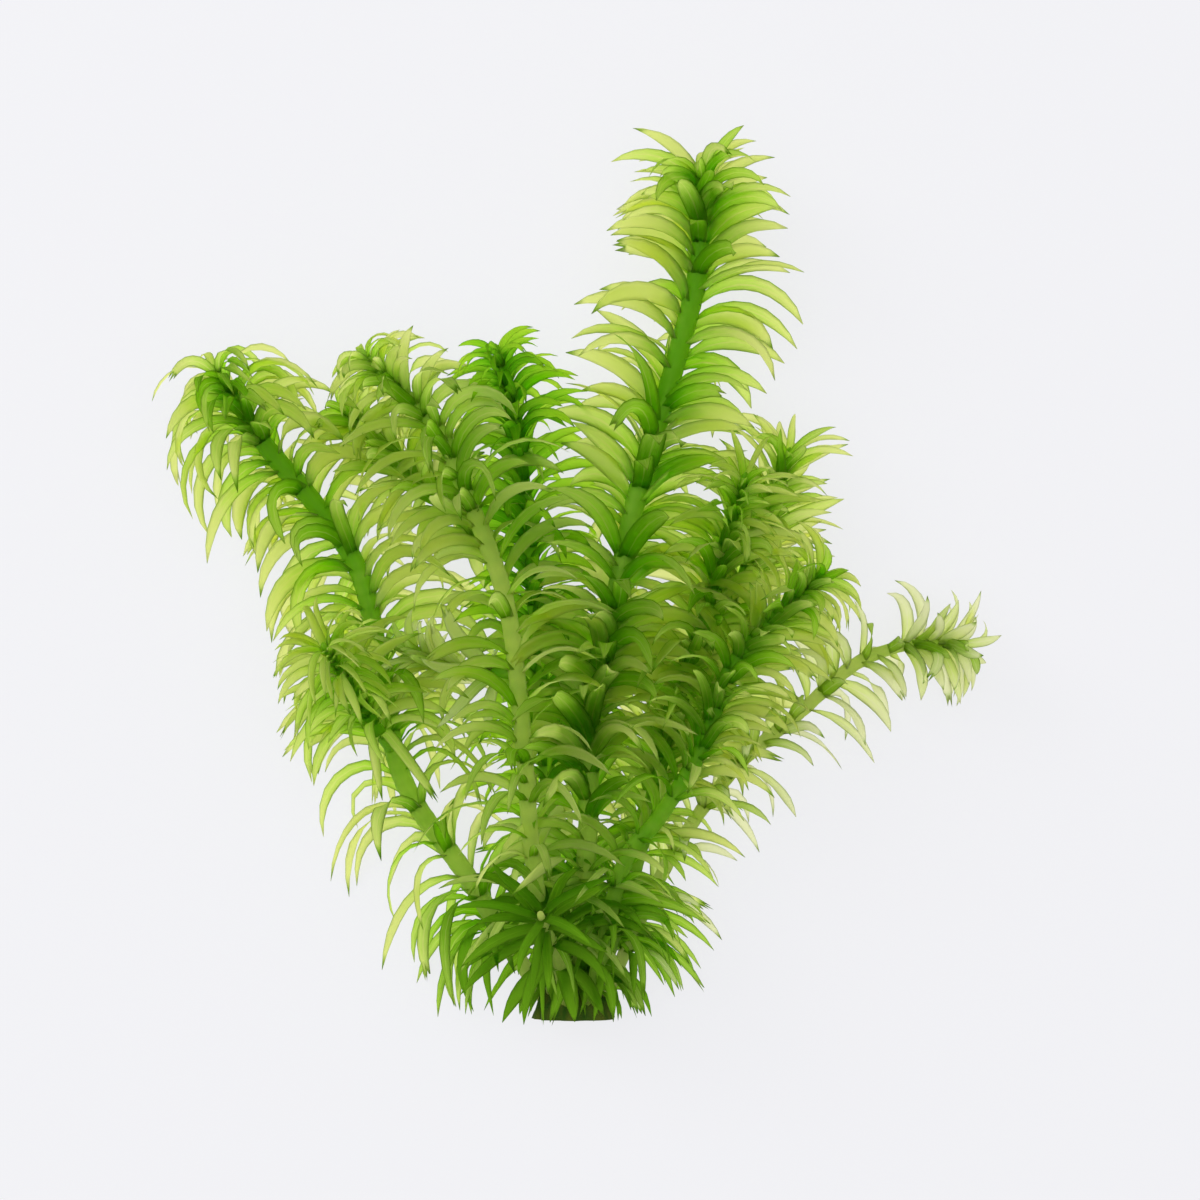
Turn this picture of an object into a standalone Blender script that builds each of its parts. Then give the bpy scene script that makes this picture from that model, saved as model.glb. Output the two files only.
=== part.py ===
"""Brazilian waterweed (Egeria densa), one bushy plant lying on its side as it lies out of water.

Twelve leafy shoots fork from a knobbly root crown, or from one another. Each shoot is one solid: a five-sided
stem with whorls of leaves grown out of its nodes. Metres, +Z up, and the plant's own upward direction is +Y.
"""

import math
import random
from collections import namedtuple

import bmesh
import bpy
from mathutils import Matrix, Quaternion, Vector
from mathutils.bvhtree import BVHTree
from mathutils.geometry import interpolate_bezier

for leftover in list(bpy.data.objects):
    bpy.data.objects.remove(leftover)

MM = 0.001
GAP = 0.3 * MM  # left between neighbouring solids
UP = Vector((0, 0, 1))
PLANT_DOWN = Vector((0, -1, 0))  # the way leaves drooped while the plant stood

# The root crown is a half ellipsoid on the surface, cut off flat where the ground was.
CROWN_HALF_SIZE = Vector((8.4, 8.0, 6.5)) * MM
CROWN_CENTRE = Vector((-0.8, -0.6, 6.5)) * MM
CROWN_COLOUR = (0.10, 0.17, 0.03)
CROWN_ROUGHNESS = 0.6

# Stems
STEM_SIDES = 5  # one side for each leaf of a whorl
STEM_FOOT_RADIUS = 1.2 * MM
STEM_SWELL = 12.0 * MM  # over which the stem grows from its foot's radius to its full one
STEM_TIP_SHARE = 0.45  # of the stem's full radius, at the bud
BUD_END_SHARE = 0.6  # of the radius there, at the bud's blunt end
FIRST_TURN = 0.4  # radians, of the foot's first corner about the stem
CURVE_POINTS = 16  # between two marks of a route
SLANTED_SHARE = 0.8  # of a side shoot's foot radius that leans towards its parent
STEP_BACK = 0.2 * MM  # by which a foot is moved up its route until it is clear
NODE_HEIGHT = 1.0 * MM  # the band of stem that a whorl grows from
BARE_FOOT = 3.0 * MM  # stem below the lowest whorl

# Whorls
WHORL_SPACING = 10.2 * MM
BUD_SPACING_SHARE = 0.4  # of the full spacing, at the very tip
FIRST_WHORL = 1.8 * MM  # below the tip
BUD_LENGTH = 20.0 * MM  # over which spacing, leaf size and spread grow to their full values
BUD_SPREAD_SHARE = 0.75  # of the full spread, at the very tip
PLAIN_LEAF = 14.5 * MM  # a leaf shorter than this has one section and not two

# Leaves
KEEL_DEPTH = 0.45 * MM
LEAST_HEIGHT = 0.55 * MM  # of a leaf's middle above the surface
CLEAR_HEIGHT = 0.02 * MM  # of its lowest corner
BUD_WIDTH_SHARE = 0.55  # of the full width, at the very tip
SPREAD_DIFFERENCE = 6  # degrees either way, from leaf to leaf
LEVEL_LEAST = 0.3  # a leaf that points more nearly straight up than this sine isn't turned level
SPINE_STEPS = 6
WIDEST_STEP = 2  # of the steps along a leaf, where it is widest
NARROWING_STEP = 4
PLAIN_STEP = 3
NARROWING_SHARE = 0.74  # of the widest, there
SETTLE = 0.45  # how much of its tilt a leaf's blade loses at each step near its tip
LOW_LEAF_HEIGHT = 55.0 * MM  # leaves nearer the foot than this are old: long, narrow and drooping
OLD_LENGTH_GAIN = 0.15
OLD_WIDTH_LOSS = 0.38
OLD_DROOP_GAIN = 0.55
LEAF_ROUGHNESS = 0.42
SMOOTH_ANGLE = math.radians(40)
LEAF_SEED = 700
TESTED_FROM = 0.06  # of the way from the stem to a leaf's first section
GROUND = 0.4 * MM  # no leaf reaches nearer to the crown's cut than this
TEST_GROWTH = 0.25 * MM  # clearance that a new leaf needs on every side
BOW = 3.0 * MM  # the most that a leaf bulges past a ball about its two ends

# What a leaf tries in turn where it would cut another: share of its length, and degrees added to its spread
# and to its place about the stem.
TRIES = (
    (1.0, 0, 0),
    (1.0, 12, 10),
    (1.0, -12, -10),
    (0.9, 0, 20),
    (0.9, 0, -20),
    (0.8, 20, 0),
    (0.75, -20, 12),
    (0.62, 10, -12),
    (0.5, -10, 0),
)

# route: points in millimetres from the crown's cut, picked by hand. stem: full radius. length: of a full
# leaf. width: from its middle to a margin. bud: the share of that length at the very tip. spread: a leaf's
# first angle from the stem, and curl: how far it bends back, both in degrees. droop: how far its tip sank
# while the plant stood. parent: the shoot that it forks from, if that isn't the crown.
Shoot = namedtuple("Shoot", "name route stem length width bud spread curl droop parent colour")

SHOOTS = (
    Shoot(
        "tall_shoot",
        ((0, 4, 7.2), (2, 35, 16), (2.5, 53, 17), (6, 72, 17), (11, 97, 16), (18.5, 123, 15), (22.5, 140, 15),
         (23, 158, 17)),
        1.6, 20.0, 1.85, 0.75, 34, 80, 0.12, None, (0.16, 0.40, 0.03),
    ),
    Shoot(
        "left_shoot",
        ((-5.5, 2, 4.5), (-20, 26, 10), (-32, 44, 11), (-36, 62, 11), (-40, 82, 11), (-48, 95, 11),
         (-58, 107, 12), (-67, 121, 14)),
        1.6, 21.5, 1.6, 0.75, 38, 108, 0.42, None, (0.14, 0.38, 0.03),
    ),
    Shoot(
        "middle_left_shoot",
        ((-4.3, 3, 7.6), (-8, 30, 21), (-10, 55, 24), (-13, 78, 23.5), (-20, 97, 21), (-26, 110, 19),
         (-34, 118, 18), (-40, 124, 18)),
        1.5, 19.0, 1.55, 0.75, 36, 92, 0.3, None, (0.22, 0.46, 0.04),
    ),
    Shoot(
        "middle_shoot",
        ((-2.5, 4, 4), (-5, 37, 9), (-7, 67, 9), (-9.5, 93, 10), (-11.5, 110, 12), (-15, 125, 14)),
        1.4, 16.5, 1.5, 0.65, 36, 80, 0.2, None, (0.10, 0.28, 0.02),
    ),
    Shoot(
        "right_shoot",
        ((3.0, 3, 7.8), (12.5, 35, 13), (17.5, 57, 13), (24, 75, 14), (27, 87, 15), (31, 101, 20)),
        1.4, 17.0, 1.5, 0.65, 36, 76, 0.15, None, (0.12, 0.32, 0.03),
    ),
    Shoot(
        "right_back_shoot",
        ((1.6, 4, 3.6), (11.5, 36, 6), (23, 60, 6), (31, 82, 7), (36, 95, 8.5), (39.5, 106, 10)),
        1.3, 18.5, 1.45, 0.7, 34, 48, 0.05, None, (0.30, 0.52, 0.08),
    ),
    Shoot(
        "right_front_shoot",
        ((2.2, 3, 10.6), (8.5, 29, 18), (15, 38, 19.5), (23, 51, 20), (27.5, 64, 20), (35.5, 74, 20),
         (46, 83, 21)),
        1.4, 16.5, 1.5, 0.65, 36, 76, 0.15, None, (0.14, 0.36, 0.03),
    ),
    Shoot(
        "far_right_shoot",
        ((4.4, 2, 4.6), (17, 29, 6), (29, 46, 6), (41.5, 57, 7), (52.5, 66.5, 8), (64, 70, 9), (73, 69, 10)),
        1.2, 14.5, 1.5, 0.75, 44, 52, 0.25, None, (0.36, 0.55, 0.10),
    ),
    Shoot(
        "front_shoot",
        ((-2.0, 3, 10.4), (-3.5, 12.5, 18), (-5.5, 18, 26), (-6.5, 21.5, 33)),
        1.4, 16.5, 2.1, 0.95, 72, 26, 0.1, None, (0.10, 0.30, 0.02),
    ),
    Shoot(
        "left_side_shoot",
        ((-34, 50, 12), (-38, 56, 17), (-42, 63, 22), (-46, 70, 28)),
        1.2, 18.0, 1.45, 0.7, 38, 88, 0.35, "left_shoot", (0.14, 0.38, 0.03),
    ),
    Shoot(
        "middle_left_side_shoot",
        ((-16, 87, 22.5), (-20, 91.5, 17.5), (-26, 97, 13), (-34.5, 105.5, 10), (-44, 114, 10)),
        1.2, 17.0, 1.45, 0.7, 36, 80, 0.25, "middle_left_shoot", (0.24, 0.48, 0.05),
    ),
    Shoot(
        "middle_side_shoot",
        ((-11, 65, 24), (-17, 64.5, 19), (-24, 65.5, 14), (-32, 69, 11)),
        1.1, 13.5, 1.35, 0.7, 36, 64, 0.1, "middle_left_shoot", (0.30, 0.50, 0.08),
    ),
)


def smooth_line(route):
    """A dense line of points along one smooth curve through a route's own points."""
    marks = [Vector(mark) * MM for mark in route]
    pulls = [
        (marks[min(i + 1, len(marks) - 1)] - marks[max(i - 1, 0)]) / 6 for i in range(len(marks))
    ]
    line = [marks[0]]
    for i in range(len(marks) - 1):
        start, end = marks[i], marks[i + 1]
        line += interpolate_bezier(start, start + pulls[i], end - pulls[i + 1], end, CURVE_POINTS)[1:]
    return line


def line_length(line):
    return sum((b - a).length for a, b in zip(line, line[1:]))


def cut_foot(line, length):
    """The line without its first length, for a side shoot, which starts at its parent's skin."""
    line = list(line)
    while len(line) > 2 and (line[1] - line[0]).length < length:
        length -= (line[1] - line[0]).length
        line.pop(0)
    line[0] = line[0].lerp(line[1], length / (line[1] - line[0]).length)
    return line


def frames_at(line, distances):
    """A matrix at each distance along the line: Z along the stem, X and Y carried along without twist."""
    frames = []
    side = UP.cross(line[1] - line[0]).normalized()
    walked = 0.0
    wanted = list(distances)
    for a, b in zip(line, line[1:]):
        along = (b - a).normalized()
        side = (side - along * side.dot(along)).normalized()
        step = (b - a).length
        while wanted and wanted[0] <= walked + step + 1e-9:
            point = a.lerp(b, (wanted.pop(0) - walked) / step)
            turn = Matrix((side, along.cross(side), along)).transposed().to_4x4()
            frames.append(Matrix.Translation(point) @ turn)
        walked += step
    return frames


def whorl_distances(length):
    """Where the whorls are along a stem of this length, from the foot up. They crowd towards the bud."""
    below_tip = FIRST_WHORL
    found = []
    while below_tip < length - BARE_FOOT:
        found.append(length - below_tip)
        grown = min(1.0, below_tip / BUD_LENGTH)
        below_tip += WHORL_SPACING * (BUD_SPACING_SHARE + (1 - BUD_SPACING_SHARE) * grown)
    return found[::-1]


def stem_radius(shoot, distance, length):
    """The stem swells above its foot and thins towards the bud."""
    full = shoot.stem * MM
    rising = min(1.0, distance / STEM_SWELL)
    falling = min(1.0, (length - distance) / BUD_LENGTH)
    lower = STEM_FOOT_RADIUS + (full - STEM_FOOT_RADIUS) * rising
    return lower * (STEM_TIP_SHARE + (1 - STEM_TIP_SHARE) * falling)


def place_ring(ring, frame, radius, turn):
    """Moves a ring of stem vertices to a frame."""
    for i, vertex in enumerate(ring):
        angle = turn + math.tau * i / len(ring)
        vertex.co = frame @ Vector((radius * math.cos(angle), radius * math.sin(angle), 0))


def next_ring(bm, ring):
    """Extrudes a ring's edges and gives the new ring in the same order."""
    edges = [bm.edges.get((ring[i], ring[(i + 1) % len(ring)])) for i in range(len(ring))]
    made = bmesh.ops.extrude_edge_only(bm, edges=edges)["geom"]
    fresh = {item for item in made if isinstance(item, bmesh.types.BMVert)}
    return [next(e.other_vert(old) for e in old.link_edges if e.other_vert(old) in fresh) for old in ring]


def grow_stem(bm, shoot, line):
    """A closed stem along the line. Gives its length and its leaf sockets.

    A socket is a face of the stem, its corners (two margins and a keel), the stem's frame there, the angle
    about the stem and the distance from the foot.
    """
    length = line_length(line)
    whorls = whorl_distances(length)
    stops = [0.0]
    for distance in whorls:
        stops += [distance - NODE_HEIGHT / 2, distance + NODE_HEIGHT / 2]
    stops.append(length)
    frames = frames_at(line, stops)
    turn = FIRST_TURN
    ring = list(bmesh.ops.create_circle(bm, cap_ends=True, segments=STEM_SIDES, radius=1.0)["verts"])
    place_ring(ring, frames[0], stem_radius(shoot, 0, length), turn)
    sockets = []
    half_step = math.pi / STEM_SIDES
    for i, distance in enumerate(whorls):
        radius = stem_radius(shoot, distance, length)
        ring = next_ring(bm, ring)
        place_ring(ring, frames[1 + 2 * i], radius, turn)
        low_ring = ring
        turn += half_step
        ring = next_ring(bm, ring)
        place_ring(ring, frames[2 + 2 * i], radius, turn)
        for j in range(STEM_SIDES):
            keel, margin = low_ring[(j + 1) % STEM_SIDES], ring[j]
            split = bmesh.ops.connect_verts(bm, verts=[keel, margin])["edges"][0]
            top = ring[(j + 1) % STEM_SIDES]
            socket = next(face for face in split.link_faces if top in face.verts)
            angle = turn + math.tau * (j + 0.5) / STEM_SIDES
            sockets.append((socket, [margin, top, keel], frames[1 + 2 * i], angle, distance))
    ring = next_ring(bm, ring)
    place_ring(ring, frames[-1], stem_radius(shoot, length, length) * BUD_END_SHARE, turn)
    bm.faces.new(ring)
    bmesh.ops.recalc_face_normals(bm, faces=bm.faces)
    return length, sockets


def turn_level(across, heading):
    """The angle about its heading that would lay a blade level, whichever of its two ways is nearer."""
    level = UP.cross(heading)
    if level.length < LEVEL_LEAST:
        return 0.0
    level.normalize()
    if level.dot(across) < 0:
        level = -level
    return math.atan2(across.cross(level).dot(heading), across.dot(level))


def bend_off(heading, axis, least):
    """The heading bent so that its share along one axis is no less than that."""
    if heading[axis] >= least:
        return heading
    bent = heading.copy()
    bent[axis] = 0
    bent = bent.normalized() * math.sqrt(max(0.0, 1 - least * least))
    bent[axis] = min(1.0, least)
    return bent.normalized()


def leaf_spine(start, along, out, length, spread, curl, droop):
    """A leaf's centre points, headings and blade directions, step by step from the stem to its tip.

    It leaves the stem at spread, bends back by curl and droops. Where it meets the surface it runs along it,
    as the lowest leaves once did along the ground at the crown's cut.
    """
    point, before, across = start.copy(), out, along.cross(out).normalized()
    steps = []
    reach = length / SPINE_STEPS
    for step in range(SPINE_STEPS):
        share = (step + 0.5) / SPINE_STEPS
        angle = spread + curl * share
        heading = along * math.cos(angle) + out * math.sin(angle) + PLANT_DOWN * droop * share
        heading.normalize()
        for axis, least in ((2, LEAST_HEIGHT), (1, GROUND)):
            heading = bend_off(heading, axis, (least - point[axis]) / reach)
        across = before.rotation_difference(heading) @ across
        across = Quaternion(heading, turn_level(across, heading) * SETTLE * share) @ across
        point = point + heading * reach
        before = heading
        steps.append((point, heading, across))
    return steps


def move_clear(corners):
    """The corners moved together until none is under the surface or past the crown's cut."""
    lift = max(0.0, CLEAR_HEIGHT - min(corner.z for corner in corners))
    rise = max(0.0, GROUND - min(corner.y for corner in corners))
    return [corner + UP * lift - PLANT_DOWN * rise for corner in corners]


def leaf_section(point, heading, across, half_width):
    """The two margins and the keel of a leaf at one point."""
    keel = point - heading.cross(across) * KEEL_DEPTH
    return move_clear([point - across * half_width, point + across * half_width, keel])


def leaf_shape(shoot, frame, angle, distance, stem_length, rng, attempt):
    """The sections and tip of a leaf at a place on its shoot."""
    share_of_length, spread_turn, side_turn = attempt
    turned = angle + math.radians(side_turn)
    axes = frame.to_3x3()
    out = axes @ Vector((math.cos(turned), math.sin(turned), 0))
    along = axes.col[2].normalized()
    start = frame.translation + out * stem_radius(shoot, distance, stem_length)
    below_tip = stem_length - distance
    grown = min(1.0, below_tip / BUD_LENGTH)
    old = max(0.0, 1 - frame.translation.y / LOW_LEAF_HEIGHT)
    length = shoot.length * MM * (shoot.bud + (1 - shoot.bud) * grown)
    length *= (1 + OLD_LENGTH_GAIN * old) * rng.uniform(0.88, 1.1) * share_of_length
    half_width = shoot.width * MM * (1 - OLD_WIDTH_LOSS * old)
    half_width *= BUD_WIDTH_SHARE + (1 - BUD_WIDTH_SHARE) * grown
    spread = shoot.spread * (BUD_SPREAD_SHARE + (1 - BUD_SPREAD_SHARE) * grown) + spread_turn
    spread = math.radians(spread + rng.uniform(-SPREAD_DIFFERENCE, SPREAD_DIFFERENCE))
    curl = math.radians(shoot.curl * rng.uniform(0.75, 1.2))
    droop = shoot.droop + OLD_DROOP_GAIN * old
    steps = leaf_spine(start, along, out, length, spread, curl, droop)
    cuts = ((WIDEST_STEP, 1.0), (NARROWING_STEP, NARROWING_SHARE))
    if length < PLAIN_LEAF:
        cuts = ((PLAIN_STEP, 1.0),)
    sections = [leaf_section(*steps[step - 1], half_width * share) for step, share in cuts]
    return start, sections, move_clear([steps[-1][0]])[0]


def outward_diagonal(low, high, i):
    """The corner of a low ring and that of a high ring that an edge joins so that side i bulges outwards."""
    j = (i + 1) % 3
    inside = (sum(low, Vector()) + sum(high, Vector())) / 6
    outward = (low[j] - low[i]).cross(high[i] - low[i]) + (high[j] - high[i]).cross(high[j] - low[j])
    if outward.dot((low[i] + low[j] + high[i] + high[j]) / 4 - inside) < 0:
        outward = -outward
    if outward.dot(low[i] + high[j]) > outward.dot(low[j] + high[i]):
        return i, j
    return j, i


def blade_tree(socket, sections, tip):
    """A search tree of a leaf's surface from just off the stem, grown on all sides past its first section."""
    corners = [socket[i].lerp(sections[0][i], TESTED_FROM) for i in range(3)]
    for section in sections:
        middle = sum(section, Vector()) / 3
        corners += [corner + (corner - middle).normalized() * TEST_GROWTH for corner in section]
    last = sum(sections[-1], Vector()) / 3
    corners.append(tip + (tip - last).normalized() * TEST_GROWTH)
    faces = [(0, 1, 2)]
    for base in range(0, 3 * len(sections), 3):
        for i in range(3):
            low, high = outward_diagonal(corners[base : base + 3], corners[base + 3 : base + 6], i)
            other = (i + 1) % 3 if low == i else i
            faces.append((base + low, base + 3 + high, base + 3 + low))
            faces.append((base + low, base + other, base + 3 + high))
    end = 3 * len(sections)
    faces += [(end + i, end + (i + 1) % 3, end + 3) for i in range(3)]
    return BVHTree.FromPolygons(corners, faces)


def is_clear(tree, centre, reach, placed):
    """Whether a leaf meets nothing that has been placed. placed: tree, centre and reach of each thing."""
    return not any(
        (there - centre).length < reach + other_reach and tree.overlap(other)
        for other, there, other_reach in placed
    )


def folds_back(start, sections, tip):
    """Whether a leaf turns back on itself by more than a right angle on its way to its tip."""
    places = [start, *(sum(section, Vector()) / 3 for section in sections), tip]
    ways = [b - a for a, b in zip(places, places[1:])]
    return any(a.dot(b) < 0 for a, b in zip(ways, ways[1:]))


def extrude_face(bm, face, corners):
    """Extrudes one face. Gives the new face and its corners, in the order of the old ones."""
    fresh = bmesh.ops.extrude_discrete_faces(bm, faces=[face])["faces"][0]
    made = set(fresh.verts)
    moved = [next(e.other_vert(old) for e in old.link_edges if e.other_vert(old) in made) for old in corners]
    return fresh, moved


def grow_leaf(bm, face, corners, sections, tip):
    """Extrudes a leaf out of its socket, through its sections, and draws it to a point at its tip."""
    for section in sections:
        below = corners
        face, corners = extrude_face(bm, face, corners)
        for vertex, place in zip(corners, section):
            vertex.co = place
        places = [corner.co for corner in below], [corner.co for corner in corners]
        for i in range(3):
            low, high = outward_diagonal(*places, i)
            bmesh.ops.connect_verts(bm, verts=[below[low], corners[high]])
    bmesh.ops.poke(bm, faces=[face])["verts"][0].co = tip


def plant_material(name, colour, roughness):
    material = bpy.data.materials.new(name)
    material.use_nodes = True
    shader = material.node_tree.nodes["Principled BSDF"]
    shader.inputs["Base Color"].default_value = (*colour, 1)
    shader.inputs["Roughness"].default_value = roughness
    shader.inputs["Metallic"].default_value = 0.0
    return material


def place_part(name, bm, material, foot, plant):
    """Makes a named object of a bmesh, with its origin at its foot."""
    bmesh.ops.translate(bm, verts=bm.verts, vec=-foot)
    bmesh.ops.recalc_face_normals(bm, faces=bm.faces)
    mesh = bpy.data.meshes.new(name)
    bm.to_mesh(mesh)
    bm.free()
    mesh.materials.append(material)
    mesh.shade_smooth()
    mesh.set_sharp_from_angle(angle=SMOOTH_ANGLE)
    part = bpy.data.objects.new(name, mesh)
    bpy.context.collection.objects.link(part)
    part.location = foot
    part.parent = plant
    return part


def make_crown(plant):
    """The root crown: half a squat ball, cut off flat across the plant's foot."""
    bm = bmesh.new()
    bmesh.ops.create_uvsphere(bm, u_segments=12, v_segments=8, radius=1.0)
    bmesh.ops.scale(bm, vec=CROWN_HALF_SIZE, verts=bm.verts)
    bmesh.ops.translate(bm, vec=CROWN_CENTRE, verts=bm.verts)
    cut = bmesh.ops.bisect_plane(
        bm, geom=[*bm.verts, *bm.edges, *bm.faces], plane_co=(0, 0, 0), plane_no=(0, -1, 0), clear_outer=True
    )
    rim = [item for item in cut["geom_cut"] if isinstance(item, bmesh.types.BMEdge)]
    bmesh.ops.edgeloop_fill(bm, edges=rim)
    material = plant_material("old_stem_green", CROWN_COLOUR, CROWN_ROUGHNESS)
    tree = BVHTree.FromBMesh(bm)
    place_part("root_crown", bm, material, CROWN_CENTRE.copy(), plant)
    return tree


def leave_crown(line):
    """The line of a shoot from where its foot is clear of the crown."""
    room = CROWN_HALF_SIZE + Vector((1, 1, 1)) * 2 * GAP
    while Vector(((line[0] - CROWN_CENTRE)[i] / room[i] for i in range(3))).length < 1:
        line = cut_foot(line, STEP_BACK)
    return line


def leave_parent(line, parent, parent_line):
    """The line of a side shoot from where its foot is clear of its parent's skin."""
    need = parent.stem * MM + STEM_FOOT_RADIUS * SLANTED_SHARE + GAP
    while min((line[0] - point).length for point in parent_line) < need:
        line = cut_foot(line, STEP_BACK)
    return line


def centre_on_surface(plant):
    """Moves the whole plant so that the origin is at the bottom centre of its box."""
    corners = [part.location + vertex.co for part in plant.children for vertex in part.data.vertices]
    low = Vector(min(corner[axis] for corner in corners) for axis in range(3))
    high = Vector(max(corner[axis] for corner in corners) for axis in range(3))
    plant.location = (-(low.x + high.x) / 2, -(low.y + high.y) / 2, -low.z)


def grow_stems(plant):
    """The crown and the bare stems. Gives what they fill, each shoot's mesh and foot, and all the sockets."""
    placed = [(make_crown(plant), CROWN_CENTRE, CROWN_HALF_SIZE.length)]
    lines, growing, sockets = {}, [], []
    for shoot in SHOOTS:
        line = smooth_line(shoot.route)
        if shoot.parent:
            line = leave_parent(line, *lines[shoot.parent])
        else:
            line = leave_crown(line)
        lines[shoot.name] = (shoot, line)
        bm = bmesh.new()
        length, found = grow_stem(bm, shoot, line)
        growing.append((shoot, bm, line[0].copy()))
        middle = sum(line, Vector()) / len(line)
        reach = max((point - middle).length for point in line) + shoot.stem * MM
        placed.append((BVHTree.FromBMesh(bm), middle, reach))
        sockets += [(shoot, bm, length, socket) for socket in found]
    return placed, growing, sockets


def grow_leaves(placed, sockets):
    """Grows a leaf from each socket that has room for one, those nearest to the tips first."""
    sockets.sort(key=lambda item: item[2] - item[3][4])
    for seed, (shoot, bm, length, (face, corners, frame, angle, distance)) in enumerate(sockets):
        for attempt in TRIES:
            rng = random.Random(LEAF_SEED + seed)
            start, sections, tip = leaf_shape(shoot, frame, angle, distance, length, rng, attempt)
            tree = blade_tree([corner.co for corner in corners], sections, tip)
            centre = (start + tip) / 2
            reach = (tip - start).length / 2 + BOW
            if not folds_back(start, sections, tip) and is_clear(tree, centre, reach, placed):
                grow_leaf(bm, face, corners, sections, tip)
                placed.append((tree, centre, reach))
                break


def build_plant():
    plant = bpy.data.objects.new("waterweed", None)
    bpy.context.collection.objects.link(plant)
    placed, growing, sockets = grow_stems(plant)
    grow_leaves(placed, sockets)
    for shoot, bm, foot in growing:
        material = plant_material(shoot.name + "_green", shoot.colour, LEAF_ROUGHNESS)
        place_part(shoot.name, bm, material, foot, plant)
    centre_on_surface(plant)


build_plant()
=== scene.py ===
"""A Brazilian waterweed plant (Egeria densa), lying on its side on a pale surface and seen from above."""

import math
import random

import bmesh
import bpy
from mathutils import Matrix, Quaternion, Vector, noise
from mathutils.geometry import interpolate_bezier


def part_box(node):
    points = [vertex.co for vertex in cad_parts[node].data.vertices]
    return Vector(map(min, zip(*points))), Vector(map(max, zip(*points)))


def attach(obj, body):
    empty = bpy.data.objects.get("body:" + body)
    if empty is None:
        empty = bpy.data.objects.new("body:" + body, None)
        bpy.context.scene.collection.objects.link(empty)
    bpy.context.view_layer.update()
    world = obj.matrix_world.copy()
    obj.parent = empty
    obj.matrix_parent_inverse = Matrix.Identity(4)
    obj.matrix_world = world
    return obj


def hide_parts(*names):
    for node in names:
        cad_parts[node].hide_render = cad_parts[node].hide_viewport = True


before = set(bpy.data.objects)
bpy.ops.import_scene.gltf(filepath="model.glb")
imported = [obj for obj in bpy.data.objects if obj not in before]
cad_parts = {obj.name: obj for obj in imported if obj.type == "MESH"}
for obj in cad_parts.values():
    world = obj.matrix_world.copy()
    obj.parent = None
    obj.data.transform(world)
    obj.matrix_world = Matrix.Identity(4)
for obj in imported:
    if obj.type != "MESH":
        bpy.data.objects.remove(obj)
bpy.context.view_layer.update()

# The root crown is the old, hardened foot of the plant. It grew where creeping stems met the ground, and
# ten shoots have forked from it. It is firm, knobbly, olive-green tissue, and the cut face shows its
# paler inside.
MM = 0.001
CROWN_HALF_SIZE = Vector((8.4, 8.0, 6.5)) * MM
CROWN_MIDDLE = Vector((-0.8, -0.6, 6.5)) * MM  # from the plant's foot, the middle of the cut's lowest edge
CROWN_KNOBS = 1.3 * MM
CROWN_KNOB_SIZE = Vector((1.9, 6.5, 1.9)) * MM  # long ridges, the feet of old stems that have grown together
CROWN_SKIN = 0.5 * MM  # how far the knobs' middle level stays inside the crown's box

crown_low, crown_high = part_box("root_crown")
plant_foot = Vector(((crown_low.x + crown_high.x) / 2 - CROWN_MIDDLE.x, crown_low.y, crown_low.z))


class Reading:
    """One output of a material's nodes. Operators on it add Math nodes, and node() adds any other."""

    def __init__(self, tree, socket=None):
        self.tree, self.socket = tree, socket

    def node(self, kind, settings=None, inputs=None, output=0):
        made = self.tree.nodes.new(kind)
        for name, setting in (settings or {}).items():
            if name == "stops":
                ramp = made.color_ramp
                while len(ramp.elements) < len(setting):
                    ramp.elements.new(1.0)
                for element, (place, colour) in zip(ramp.elements, setting):
                    element.position = place
                    element.color = (*colour, 1)
            else:
                setattr(made, name, setting)
        for name, value in (inputs or {}).items():
            if isinstance(value, Reading):
                self.tree.links.new(value.socket, made.inputs[name])
            elif isinstance(value, tuple) and len(value) == 3 and made.inputs[name].type == "RGBA":
                made.inputs[name].default_value = (*value, 1)
            else:
                made.inputs[name].default_value = value
        return Reading(self.tree, made.outputs[output] if made.outputs else None)

    def maths(self, operation, first, second, clamped=False):
        settings = {"operation": operation, "use_clamp": clamped}
        return self.node("ShaderNodeMath", settings, {0: first, 1: second})

    def __add__(self, other):
        return self.maths("ADD", self, other)

    def __sub__(self, other):
        return self.maths("SUBTRACT", self, other)

    def __rsub__(self, other):
        return self.maths("SUBTRACT", other, self)

    def __mul__(self, other):
        return self.maths("MULTIPLY", self, other)

    def __pow__(self, other):
        return self.maths("POWER", self, other)

    __radd__, __rmul__ = __add__, __mul__

    def size(self):
        return self.maths("ABSOLUTE", self, 0.0)

    def held(self):
        """The value kept between 0 and 1."""
        return self.maths("ADD", self, 0.0, clamped=True)

    def mixed(self, factor, first, second):
        """Two colours mixed by a factor."""
        settings = {"data_type": "RGBA", "clamp_factor": True}
        return self.node("ShaderNodeMix", settings, {0: factor, 6: first, 7: second}, output=2)


def start_material(name):
    material = bpy.data.materials.new(name)
    material.use_nodes = True
    material.node_tree.nodes.clear()
    return material, Reading(material.node_tree)


def grain(tree, where, scale, detail=3.0):
    """Noise from 0 to 1 at a place, with this many lumps to a metre or to a unit of the place."""
    settings = {"noise_dimensions": "3D"}
    return tree.node("ShaderNodeTexNoise", settings, {"Vector": where, "Scale": scale, "Detail": detail})


CROWN_OLIVE = (0.022, 0.085, 0.004)
CROWN_BROWN = (0.10, 0.13, 0.012)
CUT_CREAM = (0.46, 0.50, 0.22)
CUT_GREEN = (0.23, 0.33, 0.08)


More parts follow.
